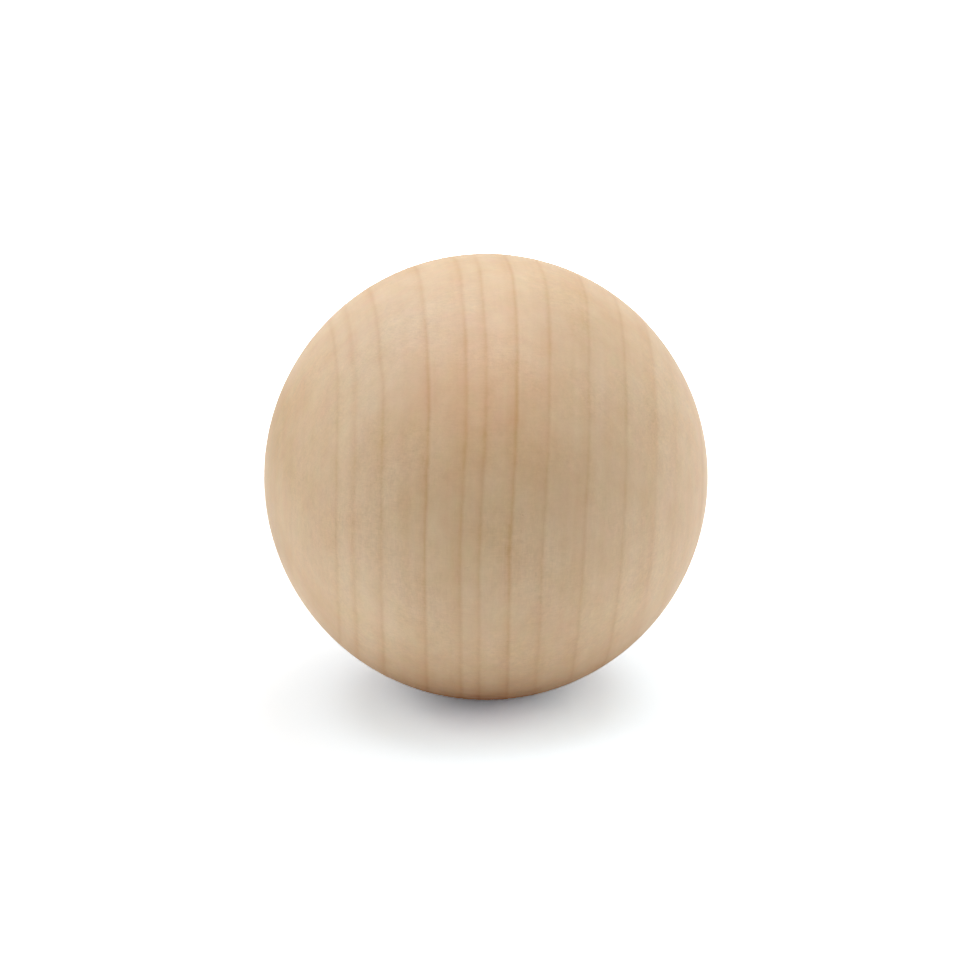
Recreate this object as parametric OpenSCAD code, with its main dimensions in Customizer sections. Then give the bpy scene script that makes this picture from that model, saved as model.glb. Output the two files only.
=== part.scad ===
// Solid wooden ball, turned from one blank of close-grained maple.
// Millimetres. The origin is the ball's centre and +Z runs along the grain.

/* [Ball] */
// Diameter of the finished ball
ball_d = 50.8; // [6:0.1:130]

/* [Hidden] */

// Facets of a drawn great circle; the exact solid is a true sphere
$fn = 180;

// Bare sanded maple: pale cream with a little pink
maple = [0.87, 0.77, 0.65];

// The whole ball: one solid with no bore, flat or join, round to the end grain at both poles
module ball() {
    color(maple)
        sphere(d = ball_d);
}

ball();
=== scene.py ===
import math

import bmesh
import bpy
import numpy as np
from mathutils import Matrix, Vector, noise


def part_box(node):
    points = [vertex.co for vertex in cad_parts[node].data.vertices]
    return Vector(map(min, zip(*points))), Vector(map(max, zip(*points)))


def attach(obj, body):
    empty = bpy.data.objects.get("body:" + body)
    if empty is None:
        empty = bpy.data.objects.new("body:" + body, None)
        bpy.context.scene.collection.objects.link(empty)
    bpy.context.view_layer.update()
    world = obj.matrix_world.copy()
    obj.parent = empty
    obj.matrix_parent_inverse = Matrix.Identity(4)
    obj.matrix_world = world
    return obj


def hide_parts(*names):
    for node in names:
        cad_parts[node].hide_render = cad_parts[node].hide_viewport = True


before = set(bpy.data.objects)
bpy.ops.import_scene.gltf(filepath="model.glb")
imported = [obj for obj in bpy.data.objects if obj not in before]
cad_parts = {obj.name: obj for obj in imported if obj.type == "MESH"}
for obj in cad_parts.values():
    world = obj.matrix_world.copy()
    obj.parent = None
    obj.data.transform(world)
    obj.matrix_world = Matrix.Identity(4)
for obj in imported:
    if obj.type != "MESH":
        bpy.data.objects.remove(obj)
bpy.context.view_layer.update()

# The ball is turned from one blank. Its centre is the origin and the grain runs along Z.
# Lengths below that end in _mm are millimetres; Blender's own lengths are metres.
MM = 0.001

# ---------------------------------------------------------------------------
# The blank: where the tree's heart lay, and how its growth rings lie in the ball
# ---------------------------------------------------------------------------
HEART_X_MM = -130.0                   # the heart is far out on the -X side, so the rings are nearly flat
HEART_Y_MM = -16.0

# The kinds of growth line: strength of the crisp brown core, of the darker late wood before it and
# of the pale early wood after it
BOLD = (7, 5, 3)
PLAIN = (5, 4, 3)
CRISP = (5, 2, 3)
SOFT = (2, 4, 4)
FAINT = (1, 1, 3)
# Each growth line: its place outward from the ball's centre at mid height, and its kind
GROWTH_LINES = [
    (-26.4, PLAIN),
    (-21.4, FAINT),
    (-16.0, CRISP),
    (-14.0, SOFT),
    (-11.0, PLAIN),
    (-6.2, BOLD),
    (-2.4, PLAIN),
    (-0.4, PLAIN),
    (2.8, BOLD),
    (6.2, CRISP),
    (10.5, CRISP),
    (14.6, CRISP),
    (18.0, SOFT),
    (20.4, FAINT),
    (24.3, PLAIN),
]
# The grain isn't quite straight: how far it leans outward at these heights, on the heart's side of
# the ball, in its middle and on the bark's side, and how far out those three lie
LEAN_HEIGHTS = (-18, -8, 0, 8, 14, 18, 24)
LEAN_INNER = (-0.3, -0.1, 0.0, 0.1, 0.1, -0.3, -0.9)
LEAN_MIDDLE = (-0.4, -0.1, 0.0, 0.3, 0.5, 0.5, 0.3)
LEAN_OUTER = (-1.4, -0.5, 0.0, 0.3, 0.4, 0.5, 1.3)
LEAN_PLACES_MM = (-12.0, 1.0, 14.0)

# The three shapes across a line: (distance outward past the line in mm, share of full strength)
CORE = [(-0.3, 0), (0, 1), (0.05, 1), (0.35, 0)]
LATE_WOOD = [(-1.3, 0), (-0.7, 0.35), (-0.2, 1), (0, 1), (0.4, 0)]
EARLY_WOOD = [(0.1, 0), (0.5, 0.5), (1, 1), (1.3, 1), (2.5, 0)]
# What one step of strength takes from, or gives to, red, green and blue
CORE_TINT = (-0.009, -0.013, -0.020)
LATE_TINT = (-0.006, -0.015, -0.024)
EARLY_TINT = (0.006, 0.013, 0.022)

MAPLE = (0.75, 0.53, 0.32)            # bare sanded maple
FINE_TINT = (0.85, 1.0, 1.30)         # how the smallest marks shade it: nearly grey
WIDER_TINT = (0.60, 1.0, 1.62)        # wider streaks: tan
BROAD_TINT = (0.50, 1.0, 1.62)        # bands and billows: warm
BLUSH = (0.03, -0.04, 0.02)           # pinkish and creamy clouds
GOLD = (0.03, 0.02, -0.03)            # golden streaks
# What each broad tone adds to red, green and blue
PALE = (0.05, 0.08, 0.11)
CREAMY = (0.0, 0.03, 0.10)
ROSY = (0.06, 0.01, 0.03)
GOLDEN = (0.05, 0.0, -0.07)
TAN = (-0.03, -0.05, -0.10)
DULL = (-0.05, -0.06, -0.08)
# painted shade: darker and browner on the underside, where the shade by the floor falls on the ball
UNDERSIDE_PAINTED_SHADE = (-0.12, -0.28, -0.36)
# Where the wood takes a tone, and where painted light and shade lie on it: middle in mm, how far it reaches,
# the tone and how strong it is
TONES = [
    ((0, -20, 13), 15, GOLDEN, 1.0),
    ((0, -17, 17), 15, ROSY, 1.0),
    # partly the wood's own tone, partly painted sheen on the upper left
    ((-10, -9, 21), 14, CREAMY, 1.5),
    ((10, -10, 21), 10, DULL, 1.0),
    ((0, 3, 25), 9, DULL, 0.5),
    # painted light: the lower front lighter, where the floor's bounce falls on it
    ((-12, -20, -9), 11, PALE, 2.0),
    ((0, -22, -12), 9, PALE, 1.0),
    ((14, -18, -8), 10, PALE, 1.0),
    # partly the wood's own tone, partly painted shade where the front faces the dark side round the lens
    ((0, -25, 1), 8, TAN, 1.0),
    # painted shade: dulls the sheen along the left rim
    ((-24, -7, -5), 8, DULL, 3.0),
    ((20, -2, 15), 8, DULL, 0.5),
    # painted shade under the ball
    ((0, -10, -24), 11, UNDERSIDE_PAINTED_SHADE, 1.0),
]
# Small clusters of open pores: middle in mm
PORE_CLUSTERS = [
    (3.8, -24.5, 4.6),
    (6.3, -24.4, 11.4),
    (9.9, -19.2, 13.2),
    (-14.6, -18.3, 9.4),
    (-1.9, -25.1, -1.2),
]
PORE_DOT_MM = 0.16                    # size of one dot in a cluster
PORE_DOT_DEPTH = 0.22                 # how strongly the dots show
PORE_CLUSTER_MM = (0.55, 0.15)        # a cluster thins out between these distances from its middle

# The figure of the wood: size in mm each way, detail, roughness and strength.
# Pores, rays, fibres, streaks and bands follow the grain: outward, round the heart and along it.
PORES = ((0.15, 0.15, 0.9), 1.0, 0.5, 0.055)
RAYS = ((1.0, 0.3, 0.15), 1.0, 0.5, 0.062)
MOTTLE = ((0.7, 0.6, 0.8), 2.0, 0.8, 0.107)
FIBRES = ((0.3, 0.3, 6.0), 1.0, 0.5, 0.022)
STREAKS = ((0.5, 15.0, 22.0), 1.0, 0.5, 0.031)
BANDS = ((1.6, 30.0, 40.0), 1.0, 0.5, 0.044)
BILLOWS = ((5.5, 5.0, 7.5), 2.0, 0.9, 0.145)
# Clouds: size in mm each way and detail
WAVER_CLOUDS = ((6.0, 6.0, 2.5), 2.0)
DRIFT_CLOUDS = ((14.0, 14.0, 18.0), 1.0)
FADING_CLOUDS = ((6.0, 6.0, 5.0), 2.0)
LIVELY_CLOUDS = ((8.0, 8.0, 11.0), 2.0)
BLUSH_CLOUDS = ((2.4, 2.4, 4.0), 2.0, 0.8)    # and roughness
GOLD_CLOUDS = ((1.8, 3.5, 6.5), 2.0, 0.8)
# Where each of these is cut from the endless noise, so that no two run alike
LIVELY_SHIFT = (1.0, 6.0, 2.0)
BLUSH_SHIFT = (7.0, 3.0, 1.0)
GOLD_SHIFT = (2.0, 9.0, 4.0)
PORE_DOT_SHIFT = (3.0, 1.0, 5.0)
WAVER_MM = 0.12                       # how far a growth line trembles
DRIFT_MM = 0.9                        # how far the rings stray towards the back of the ball
DRIFT_FROM_TO_MM = (-12.0, 12.0)      # between these depths, from front to back
FADING = 0.5                          # how much the lines come and go
LIVELY = (0.5, 1.5)                   # how weak and how strong the small marks get
LIVELY_SPAN = 0.4                     # how much of the clouds' swing that takes

END_GRAIN = 0.04                      # end grain drinks in light: this much darker at the poles
END_GRAIN_HEIGHTS_MM = (15.0, 25.0)
SATIN = 0.54                          # roughness of the sanded surface
ROUGH_IN_MARKS = 1.5                  # how the small marks change it
ROUGH_IN_LATE_WOOD = -0.004           # and one step of late wood
PROUD_MARKS_MM = 0.06                 # how far small marks and late wood stand out
PROUD_LATE_WOOD_MM = 0.0006
SHINE = 0.75                          # strength of the gloss
WOOD_IOR = 1.5

# ---------------------------------------------------------------------------
# The turned surface
# ---------------------------------------------------------------------------
CUTS = 123                            # across each side of the block the ball is drawn out from
BAKE_PIXELS = 1024
BAKE_RIM_PIXELS = 2.0                 # left free round each side's layout
INSIDE_MM = 0.002                     # how far the surface keeps inside the solid's own box
SHRUNK_ACROSS = 0.992                 # width for height
SOFT_WOOD_WORN_MM = 0.008             # how far soft early wood lies below hard late wood
HAND_WAVE_MM = 0.04                   # depth and width of the faint waves hand sanding leaves
HAND_WAVE_WIDTH_MM = 8.0

# ---------------------------------------------------------------------------
# Studio
# ---------------------------------------------------------------------------
LENS_MM = 100.0
FILM_MM = 36.0
NEAREST_SEEN_MM = 10.0
FRAME_PX = 976.0
BALL_RADIUS_PX = 224.0                # how large the ball stands in the picture
AIM_RIGHT_PX = 2.1                    # the lens points a little right of the centre and below it
AIM_DOWN_PX = 11.1
CAMERA_RISE = math.radians(20)
CAMERA_BACK = Vector((0, -math.cos(CAMERA_RISE), math.sin(CAMERA_RISE)))  # from the ball to the lens

FLOOR_HALF_WIDTH = 4.0                # in metres
FLOOR_NEAR = (0.42, 0.25, 0.17)       # painted shade: the floor gives back this darker, warmer light to the ball from close under it
FLOOR_FAR = (0.97, 0.97, 0.97)        # and from well clear of it
FLOOR_CLEARS_MM = (10.5, 35.5)        # where the one turns into the other
FLOOR_IN_SHEEN = 0.12                 # share of the near floor's drawn brightness in the ball's sheen
# Painted light: how bright the white floor is drawn, by distance in mm from the middle of the ball's shadow;
# drawn brightest there, it lightens the shadow
SHADOW_MIDDLE_MM = (2.0, -6.5, 0.0)
FLOOR_IN_VIEW = [(0, 5.2), (5, 3.6), (10, 2.7), (20, 1.7), (30, 1.3), (60, 1.4)]
FLOOR_FAR_OFF = 12.0                  # painted light: how many times brighter the floor is drawn where the dark card stands, over the card's shadow
FLOOR_FAR_OFF_MM = (100.0, 400.0)     # which begins and is full at these distances
SHADOW_COOL = (-0.28, 0.0, 0.23)      # the shadow is drawn cool, against the warm light off the wood
COOL_MIDDLE_MM = (1.0, -2.0, 0.0)
COOL_ENDS_MM = 34.0

FLAG_LIGHT = 0.065                    # brightness of the dark cards
CARD_SIDES = 64
LENS_FLAG_HALF_ANGLE = math.radians(43)
LENS_FLAG_SHARE = 0.95                # it stands this share of the way to the lens
SIDE_FLAG_AT = (-123, -12)            # a second card, behind the ball on the left: turn and rise
SIDE_FLAG_HALF_ANGLE = math.radians(24)
SIDE_FLAG_MM = 120.0                  # and how far off it is
TENT_LOW = 0.46                       # the tent's light at the horizon
TENT_TOP = 0.86                       # and overhead
TENT_FRONT_CUT = 0.34                 # how much less comes from round the camera
TENT_FRONT = (0.3, 0.9)               # cosines between which that sets in
# Soft boxes: (name, turn from the camera to the right, rise, spread), in degrees, and strength
BOX_TOP = ("box_top", 180, 75, 65, 1.43)
BOX_LEFT = ("box_left", -81, 32, 50, 0.68)
BOX_RIGHT = ("box_right", 80, 39, 50, 0.23)


class Bench:
    """Lays nodes in one tree and joins them. Every call gives back a socket."""

    def __init__(self, tree):
        self.nodes = tree.nodes
        self.links = tree.links
        self.nodes.clear()

    def put(self, kind, **settings):
        node = self.nodes.new(kind)
        for name, value in settings.items():
            setattr(node, name, value)
        return node

    def feed(self, socket, value):
        if isinstance(value, bpy.types.NodeSocket):
            self.links.new(value, socket)
        else:
            socket.default_value = value

    def number(self, operation, *values):
        node = self.put("ShaderNodeMath", operation=operation)
        for socket, value in zip(node.inputs, values):
            self.feed(socket, value)
        return node.outputs[0]

    def vector(self, operation, *values):
        node = self.put("ShaderNodeVectorMath", operation=operation)
        for socket, value in zip(node.inputs, values):
            self.feed(socket, value)
        return node.outputs["Value" if operation in ("LENGTH", "DISTANCE", "DOT_PRODUCT") else "Vector"]

    def scaled(self, vector, amount):
        node = self.put("ShaderNodeVectorMath", operation="SCALE")
        self.feed(node.inputs["Vector"], vector)
        self.feed(node.inputs["Scale"], amount)
        return node.outputs["Vector"]

    def ease(self, value, low, high, to_low=0.0, to_high=1.0, smooth=True):
        """Carries a value over from one range to another, level outside it."""
        node = self.put("ShaderNodeMapRange", interpolation_type="SMOOTHSTEP" if smooth else "LINEAR")
        for name, given in (("Value", value), ("From Min", low), ("From Max", high),
                            ("To Min", to_low), ("To Max", to_high)):
            self.feed(node.inputs[name], given)
        return node.outputs["Result"]

    def blend(self, amount, first, second):
        node = self.put("ShaderNodeMix", data_type="FLOAT")
        for socket, value in zip((node.inputs[0], node.inputs[2], node.inputs[3]), (amount, first, second)):
            self.feed(socket, value)
        return node.outputs[0]

    def blend_colour(self, amount, first, second):
        node = self.put("ShaderNodeMix", data_type="VECTOR")
        for socket, value in zip((node.inputs[0], node.inputs[4], node.inputs[5]), (amount, first, second)):
            self.feed(socket, value)
        return node.outputs[1]

    def split(self, vector):
        node = self.put("ShaderNodeSeparateXYZ")
        self.feed(node.inputs[0], vector)
        return node.outputs

    def join(self, x, y, z):
        node = self.put("ShaderNodeCombineXYZ")
        for socket, value in zip(node.inputs, (x, y, z)):
            self.feed(socket, value)
        return node.outputs[0]

    def curve(self, value, points, smooth=True):
        """A drawn curve through (from, to) points, held level beyond its ends."""
        low_x, high_x = points[0][0], points[-1][0]
        low_y = min(y for _, y in points)
        high_y = max(y for _, y in points)
        node = self.put("ShaderNodeFloatCurve")
        line = node.mapping.curves[0]
        while len(line.points) < len(points):
            line.points.new(0.5, 0.5)
        for point, (x, y) in zip(line.points, points):
            point.location = ((x - low_x) / (high_x - low_x), (y - low_y) / (high_y - low_y))
            point.handle_type = "AUTO_CLAMPED" if smooth else "VECTOR"
        node.mapping.update()
        self.feed(node.inputs["Value"], self.ease(value, low_x, high_x, smooth=False))
        return self.ease(node.outputs[0], 0.0, 1.0, low_y, high_y, smooth=False)

    def clouds(self, vector, size, detail=2.0, roughness=0.5, shift=(0, 0, 0)):
        """Even noise from about -1 to 1, with one size in mm for each direction."""
        place = self.put("ShaderNodeMapping")
        self.feed(place.inputs["Vector"], vector)
        place.inputs["Location"].default_value = shift
        place.inputs["Scale"].default_value = tuple(1.0 / s for s in size)
        node = self.put("ShaderNodeTexNoise", noise_dimensions="3D", normalize=True)
        self.feed(node.inputs["Vector"], place.outputs[0])
        node.inputs["Scale"].default_value = 1.0
        node.inputs["Detail"].default_value = detail
        node.inputs["Roughness"].default_value = roughness
        return self.number("MULTIPLY_ADD", node.outputs[0], 2.0, -1.0)


def growth_line_group():
    """One growth line seen across: adds its core, late and early wood to those gathered so far."""
    tree = bpy.data.node_groups.new("growth_line", "ShaderNodeTree")
    face = tree.interface
    face.new_socket("Past", in_out="INPUT", socket_type="NodeSocketFloat")
    face.new_socket("Strength", in_out="INPUT", socket_type="NodeSocketVector")
    face.new_socket("So far", in_out="INPUT", socket_type="NodeSocketVector")
    face.new_socket("Wood", in_out="OUTPUT", socket_type="NodeSocketVector")
    b = Bench(tree)
    given = b.put("NodeGroupInput").outputs
    shapes = [b.curve(given["Past"], across, smooth=False) for across in (CORE, LATE_WOOD, EARLY_WOOD)]
    wood = b.vector("MULTIPLY_ADD", b.join(*shapes), given["Strength"], given["So far"])
    b.feed(b.put("NodeGroupOutput").inputs["Wood"], wood)
    return tree


def by_height(b, z, shifts):
    """A sideways shift drawn over the height of the ball."""
    return b.curve(z, list(zip(LEAN_HEIGHTS, shifts)))


def gathered(b, figures):
    """Adds up kinds of figure, each given with the directions it follows."""
    total = 0.0
    for place, (size, detail, roughness, strength) in figures:
        total = b.number("MULTIPLY_ADD", b.clouds(place, size, detail, roughness), strength, total)
    return total


def maple_wood():
    """Bare sanded maple, solid through and through: every pattern keeps to the blank or its grain. A few of
    its tones are painted light and shade.
    """
    wood = bpy.data.materials.new("bare_maple")
    wood.use_nodes = True
    b = Bench(wood.node_tree)
    place = b.put("ShaderNodeMapping")
    b.feed(place.inputs["Vector"], b.put("ShaderNodeTexCoord").outputs["Object"])
    place.inputs["Scale"].default_value = (1 / MM, 1 / MM, 1 / MM)
    blank = place.outputs[0]
    x, y, z = b.split(blank)

    # how far out from the heart a point of the blank lies, and how far round it
    from_heart_x = b.number("SUBTRACT", x, HEART_X_MM)
    from_heart_y = b.number("SUBTRACT", y, HEART_Y_MM)
    reach = b.number("ADD", b.vector("LENGTH", b.join(from_heart_x, from_heart_y, 0.0)), HEART_X_MM)
    round_heart = b.number("MULTIPLY", b.number("ARCTAN2", from_heart_y, from_heart_x), -HEART_X_MM)
    waver = b.number("MULTIPLY", b.clouds(blank, *WAVER_CLOUDS), WAVER_MM)
    drift = b.number("MULTIPLY", b.clouds(blank, *DRIFT_CLOUDS), b.ease(y, *DRIFT_FROM_TO_MM, 0.0, DRIFT_MM))
    reach = b.number("ADD", reach, b.number("ADD", waver, drift))
    inner, middle, outer = LEAN_PLACES_MM
    lean = b.blend(b.ease(reach, inner, middle, smooth=False), by_height(b, z, LEAN_INNER),
                   by_height(b, z, LEAN_MIDDLE))
    lean = b.blend(b.ease(reach, middle, outer, smooth=False), lean, by_height(b, z, LEAN_OUTER))
    out = b.number("SUBTRACT", reach, lean)
    grain = b.join(out, round_heart, z)      # outward, round the heart, along the grain

    # growth lines
    group = growth_line_group()
    lines = (0.0, 0.0, 0.0)
    for at, kind in GROWTH_LINES:
        line = b.put("ShaderNodeGroup", node_tree=group)
        b.feed(line.inputs["Past"], b.number("SUBTRACT", out, at))
        b.feed(line.inputs["Strength"], kind)
        b.feed(line.inputs["So far"], lines)
        lines = line.outputs[0]
    fading = b.number("MULTIPLY_ADD", b.clouds(blank, *FADING_CLOUDS), FADING, 1.0)
    core, late, early = b.split(b.scaled(lines, fading))
    tint = b.vector("ADD", b.scaled(CORE_TINT, core), (1.0, 1.0, 1.0))
    tint = b.vector("ADD", tint, b.scaled(LATE_TINT, late))
    tint = b.vector("ADD", tint, b.scaled(EARLY_TINT, early))

    # finer figure, from the smallest marks up; they show more in some places than in others
    liveliness = b.clouds(blank, *LIVELY_CLOUDS, shift=LIVELY_SHIFT)
    fine = b.number("MULTIPLY", gathered(b, ((grain, PORES), (grain, RAYS), (blank, MOTTLE))),
                    b.ease(liveliness, -LIVELY_SPAN, LIVELY_SPAN, *LIVELY))
    wider = gathered(b, ((grain, FIBRES), (grain, STREAKS)))
    broad = gathered(b, ((grain, BANDS), (blank, BILLOWS)))
    broad = b.number("SUBTRACT", broad,
                     b.ease(b.number("ABSOLUTE", z), *END_GRAIN_HEIGHTS_MM, 0.0, END_GRAIN))
    blush = b.clouds(blank, *BLUSH_CLOUDS, shift=BLUSH_SHIFT)
    gold = b.clouds(grain, *GOLD_CLOUDS, shift=GOLD_SHIFT)
    dots = b.clouds(blank, (PORE_DOT_MM, PORE_DOT_MM, PORE_DOT_MM), 1.0, shift=PORE_DOT_SHIFT)
    for middle_mm in PORE_CLUSTERS:
        close = b.ease(b.vector("DISTANCE", blank, middle_mm), *PORE_CLUSTER_MM)
        fine = b.number("MULTIPLY_ADD", b.number("MULTIPLY", dots, close), PORE_DOT_DEPTH, fine)
    # tones of the wood, and painted light and shade laid on it
    for middle_mm, reaches, tone, strong in TONES:
        amount = b.ease(b.vector("DISTANCE", blank, middle_mm), reaches, 0.0, 0.0, strong)
        tint = b.vector("ADD", tint, b.scaled(tone, amount))
    for part, amount in ((FINE_TINT, fine), (WIDER_TINT, wider), (BROAD_TINT, broad),
                         (BLUSH, blush), (GOLD, gold)):
        tint = b.vector("ADD", tint, b.scaled(part, amount))
    colour = b.vector("MULTIPLY", tint, MAPLE)

    # the sanded skin: small marks and hard late wood stand a few microns proud, and late wood is glossier
    rough = b.number("MULTIPLY_ADD", fine, ROUGH_IN_MARKS, SATIN)
    rough = b.number("MULTIPLY_ADD", late, ROUGH_IN_LATE_WOOD, rough)
    proud = b.number("MULTIPLY_ADD", fine, PROUD_MARKS_MM, b.number("MULTIPLY", late, PROUD_LATE_WOOD_MM))
    bump = b.put("ShaderNodeBump")
    bump.inputs["Strength"].default_value = 1.0
    bump.inputs["Distance"].default_value = MM
    b.feed(bump.inputs["Height"], proud)

    shader = b.put("ShaderNodeBsdfPrincipled")
    b.feed(shader.inputs["Base Color"], colour)
    b.feed(shader.inputs["Roughness"], rough)
    b.feed(shader.inputs["Normal"], bump.outputs[0])
    shader.inputs["IOR"].default_value = WOOD_IOR
    shader.inputs["Specular IOR Level"].default_value = SHINE
    b.feed(b.put("ShaderNodeOutputMaterial").inputs["Surface"], shader.outputs[0])
    return wood


def worn_depth(places):
    """How far under a true ball the sanded surface lies at each place, all in mm."""
    x, y, z = places.T
    reach = np.hypot(x - HEART_X_MM, y - HEART_Y_MM) + HEART_X_MM
    across, shares = zip(*LATE_WOOD)
    leans = [np.interp(z, LEAN_HEIGHTS, shifts) for shifts in (LEAN_INNER, LEAN_MIDDLE, LEAN_OUTER)]
    inner, middle, outer = LEAN_PLACES_MM
    lean = leans[0] + (leans[1] - leans[0]) * np.clip((reach - inner) / (middle - inner), 0.0, 1.0)
    lean += (leans[2] - lean) * np.clip((reach - middle) / (outer - middle), 0.0, 1.0)
    hard = np.zeros(len(x))
    for at, (_, late, _) in GROWTH_LINES:
        hard += np.interp(reach - lean - at, across, shares) * late / BOLD[1]
    waves = np.array([noise.noise(Vector(place) / HAND_WAVE_WIDTH_MM) for place in places.tolist()])
    return SOFT_WOOD_WORN_MM * (1.0 - np.clip(hard, 0.0, 1.0)) + HAND_WAVE_MM * (0.5 - 0.5 * waves)


def turned_ball(radius):
    """The ball's surface: a block of even cuts, drawn out round, its six sides laid out flat for a bake.

    Dried wood has shrunk a little across the grain, so the ball is a trifle narrower than tall.
    """
    bm = bmesh.new()
    bmesh.ops.create_cube(bm, size=2.0)
    bmesh.ops.subdivide_edges(bm, edges=bm.edges[:], cuts=CUTS, use_grid_fill=True)
    layout = bm.loops.layers.uv.new("OFBake")
    for face in bm.faces:
        middle = face.calc_center_median()
        axis = max(range(3), key=lambda k: abs(middle[k]))
        column, row = axis, 0 if middle[axis] < 0 else 1
        across, along = [k for k in range(3) if k != axis]
        for loop in face.loops:
            flat = loop.vert.co
            spot = []
            for k, cell, cells in ((across, column, 3), (along, row, 2)):
                rim = BAKE_RIM_PIXELS * cells / BAKE_PIXELS
                spot.append((cell + rim + (flat[k] + 1.0) / 2.0 * (1.0 - 2.0 * rim)) / cells)
            loop[layout].uv = spot
    for vert in bm.verts:
        vert.co = Vector([math.tan(c * math.pi / 4.0) for c in vert.co]).normalized()
    depths = worn_depth(np.array([vert.co for vert in bm.verts]) * radius / MM) * MM
    for vert, depth in zip(bm.verts, depths):
        vert.co = vert.co * (radius - depth)
        vert.co.x *= SHRUNK_ACROSS
        vert.co.y *= SHRUNK_ACROSS
    bmesh.ops.recalc_face_normals(bm, faces=bm.faces[:])
    mesh = bpy.data.meshes.new("turned_ball")
    bm.to_mesh(mesh)
    bm.free()
    mesh.shade_smooth()
    ball = bpy.data.objects.new("turned_ball", mesh)
    bpy.context.scene.collection.objects.link(ball)
    return ball


def studio_floor(level):
    """A white sweep under the ball, seen only from above. Painted light lightens the ball's shadow on it and
    the dark card's shadow far off; painted shade makes it give back darker, warmer light close under the
    ball.
    """
    bm = bmesh.new()
    bmesh.ops.create_grid(bm, x_segments=1, y_segments=1, size=FLOOR_HALF_WIDTH)
    mesh = bpy.data.meshes.new("studio_floor")
    bm.to_mesh(mesh)
    bm.free()
    floor = bpy.data.objects.new("studio_floor", mesh)
    floor.location = (0, 0, level)
    bpy.context.scene.collection.objects.link(floor)
    white = bpy.data.materials.new("floor_white")
    white.use_nodes = True
    b = Bench(white.node_tree)
    path = b.put("ShaderNodeLightPath").outputs
    spot = b.scaled(b.put("ShaderNodeTexCoord").outputs["Object"], 1 / MM)
    clear = b.ease(b.vector("LENGTH", spot), *FLOOR_CLEARS_MM)
    mirrored = b.number("MAXIMUM", path["Is Glossy Ray"], path["Is Transmission Ray"])
    in_sheen = b.number("MULTIPLY", mirrored, b.ease(clear, 0.0, 1.0, FLOOR_IN_SHEEN, 1.0, smooth=False))
    seen = b.number("MAXIMUM", path["Is Camera Ray"], in_sheen)
    # painted shade: the floor gives back darker, warmer light close under the ball
    given_back = b.blend_colour(clear, FLOOR_NEAR, FLOOR_FAR)
    # painted light: the floor drawn brighter towards the middle of the ball's shadow, and cool there
    away = b.vector("DISTANCE", spot, SHADOW_MIDDLE_MM)
    bright = b.curve(away, FLOOR_IN_VIEW)
    bright = b.join(bright, bright, bright)
    cool = b.ease(b.vector("DISTANCE", spot, COOL_MIDDLE_MM), 0.0, COOL_ENDS_MM, 1.0, 0.0, smooth=False)
    drawn = b.vector("MULTIPLY_ADD", bright, b.scaled(SHADOW_COOL, cool), bright)
    # painted light: the far floor drawn brighter for the camera, over the dark card's shadow
    far_off = b.number("MULTIPLY", path["Is Camera Ray"], b.ease(away, *FLOOR_FAR_OFF_MM))
    drawn = b.scaled(drawn, b.ease(far_off, 0.0, 1.0, 1.0, FLOOR_FAR_OFF, smooth=False))
    surface = b.put("ShaderNodeBsdfDiffuse")
    b.feed(surface.inputs["Color"], b.blend_colour(seen, given_back, drawn))
    below = b.number("MULTIPLY", path["Is Camera Ray"], b.put("ShaderNodeNewGeometry").outputs["Backfacing"])
    both = b.put("ShaderNodeMixShader")
    b.feed(both.inputs[0], below)
    b.feed(both.inputs[1], surface.outputs[0])
    b.feed(both.inputs[2], b.put("ShaderNodeBsdfTransparent").outputs[0])
    b.feed(b.put("ShaderNodeOutputMaterial").inputs["Surface"], both.outputs[0])
    mesh.materials.append(white)


def studio_tent():
    """Soft white light from all round and most from above; the camera and mirrors see plain white."""
    world = bpy.data.worlds.new("studio_tent")
    bpy.context.scene.world = world
    world.use_nodes = True
    b = Bench(world.node_tree)
    toward = b.put("ShaderNodeTexCoord").outputs["Generated"]
    up = b.split(toward)[2]
    light = b.ease(up, 0.0, 1.0, TENT_LOW, TENT_TOP, smooth=False)
    front = b.vector("DOT_PRODUCT", toward, tuple(CAMERA_BACK))
    light = b.number("MULTIPLY", light, b.ease(front, *TENT_FRONT, 1.0, 1.0 - TENT_FRONT_CUT))
    tent = b.put("ShaderNodeBackground")
    b.feed(tent.inputs["Strength"], light)
    white = b.put("ShaderNodeBackground")
    white.inputs["Strength"].default_value = 1.0
    for each in (tent, white):
        each.inputs["Color"].default_value = (1, 1, 1, 1)
    path = b.put("ShaderNodeLightPath").outputs
    both = b.put("ShaderNodeMixShader")
    mirrored = b.number("MAXIMUM", path["Is Glossy Ray"], path["Is Transmission Ray"])
    b.feed(both.inputs[0], b.number("MAXIMUM", path["Is Camera Ray"], mirrored))
    b.feed(both.inputs[1], tent.outputs[0])
    b.feed(both.inputs[2], white.outputs[0])
    b.feed(b.put("ShaderNodeOutputWorld").inputs["Surface"], both.outputs[0])


def toward_from_above(turn, rise):
    """The direction to a place in the studio: degrees to the right of the camera, and up."""
    turn, rise = math.radians(turn), math.radians(rise)
    return Vector((math.sin(turn) * math.cos(rise), -math.cos(turn) * math.cos(rise), math.sin(rise)))


def soft_box(name, turn, rise, spread, brightness):
    """A wide soft lamp far off. Brightness is that of its face, where white paper in the tent is 1."""
    lamp = bpy.data.lights.new(name, "SUN")
    lamp.angle = math.radians(spread)
    lamp.energy = brightness * math.pi * math.sin(lamp.angle / 2) ** 2
    box = bpy.data.objects.new(name, lamp)
    bpy.context.scene.collection.objects.link(box)
    toward = toward_from_above(turn, rise)
    box.location = toward
    box.rotation_mode = "QUATERNION"
    box.rotation_quaternion = toward.to_track_quat("Z", "Y")


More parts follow.
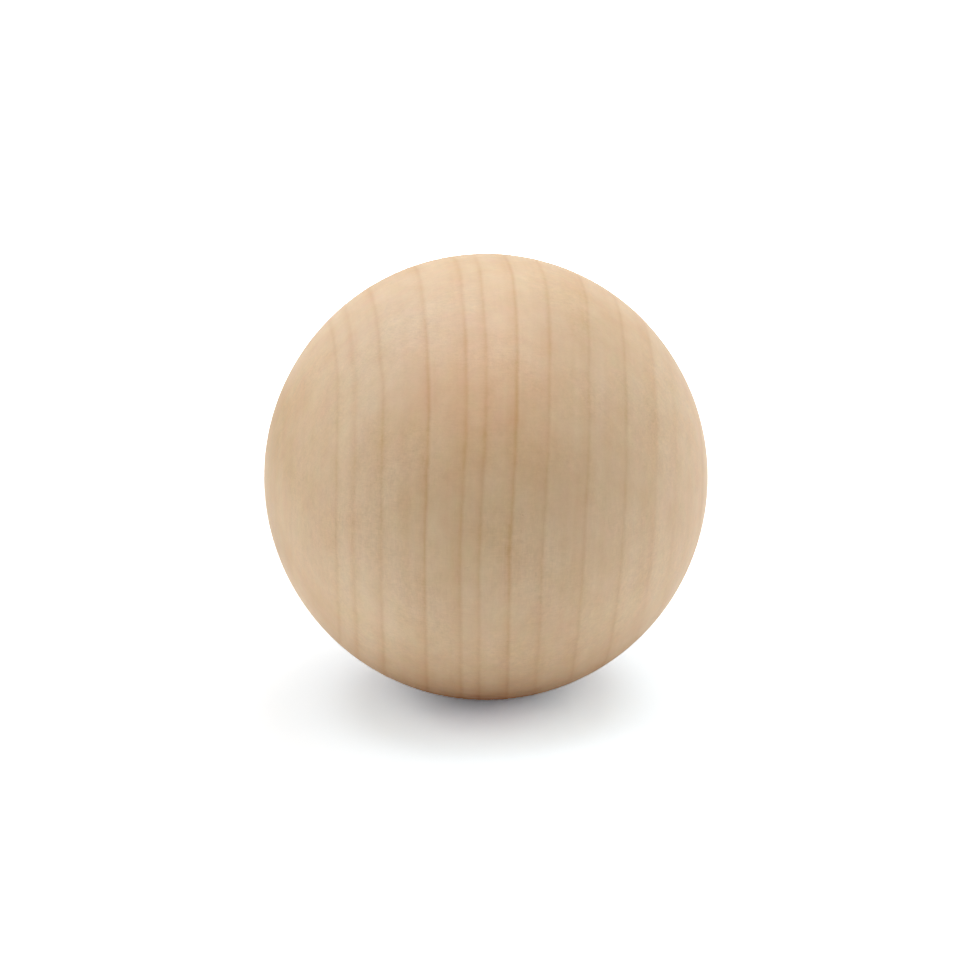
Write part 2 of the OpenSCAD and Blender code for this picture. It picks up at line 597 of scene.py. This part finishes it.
def dark_card(name, toward, distance, half_angle):
    """A dark round card facing the ball: it takes some light and sheen off it, unseen by the camera."""
    bm = bmesh.new()
    bmesh.ops.create_circle(bm, cap_ends=True, segments=CARD_SIDES, radius=distance * math.tan(half_angle))
    turn = toward.to_track_quat("Z", "Y").to_matrix().to_4x4()
    bmesh.ops.transform(bm, matrix=Matrix.Translation(toward * distance) @ turn, verts=bm.verts[:])
    mesh = bpy.data.meshes.new(name)
    bm.to_mesh(mesh)
    bm.free()
    flag = bpy.data.objects.new(name, mesh)
    bpy.context.scene.collection.objects.link(flag)
    grey = bpy.data.materials.new(name + "_grey")
    grey.use_nodes = True
    b = Bench(grey.node_tree)
    glow = b.put("ShaderNodeEmission")
    glow.inputs["Color"].default_value = (1, 1, 1, 1)
    glow.inputs["Strength"].default_value = FLAG_LIGHT
    b.feed(b.put("ShaderNodeOutputMaterial").inputs["Surface"], glow.outputs[0])
    mesh.materials.append(grey)
    flag.visible_camera = False
    return flag


def camera(radius):
    """Looks at a ball of this radius, which stands as large as in the picture. Gives its distance."""
    lens = bpy.data.cameras.new("camera")
    lens.lens = LENS_MM
    lens.sensor_width = FILM_MM
    lens.clip_start = NEAREST_SEEN_MM * MM
    seen_slope = (BALL_RADIUS_PX / (FRAME_PX / 2.0)) * (FILM_MM / 2.0 / LENS_MM)
    distance = radius / math.sin(math.atan(seen_slope))
    view = bpy.data.objects.new("camera", lens)
    bpy.context.scene.collection.objects.link(view)
    right = Vector((1, 0, 0))
    up = Vector((0, math.sin(CAMERA_RISE), math.cos(CAMERA_RISE)))
    pixel = radius / BALL_RADIUS_PX
    target = right * (AIM_RIGHT_PX * pixel) - up * (AIM_DOWN_PX * pixel)
    view.location = target + CAMERA_BACK * distance
    view.rotation_mode = "QUATERNION"
    view.rotation_quaternion = (-CAMERA_BACK).to_track_quat("-Z", "Y")
    bpy.context.scene.camera = view
    return distance


low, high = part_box("ball")
ball_radius = min(min(high), min(-low)) - INSIDE_MM * MM

ball = turned_ball(ball_radius)
ball.data.materials.append(maple_wood())
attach(ball, "root")
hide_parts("ball")

camera_distance = camera(max(high))
studio_tent()
for box in (BOX_TOP, BOX_LEFT, BOX_RIGHT):
    soft_box(*box)
studio_floor(min(low))
dark_card("lens_flag", CAMERA_BACK, camera_distance * LENS_FLAG_SHARE, LENS_FLAG_HALF_ANGLE)
side_toward = toward_from_above(*SIDE_FLAG_AT)
side_card = dark_card("side_flag", side_toward, SIDE_FLAG_MM * MM, SIDE_FLAG_HALF_ANGLE)
side_card.visible_shadow = False
bpy.context.scene.view_settings.view_transform = "Standard"
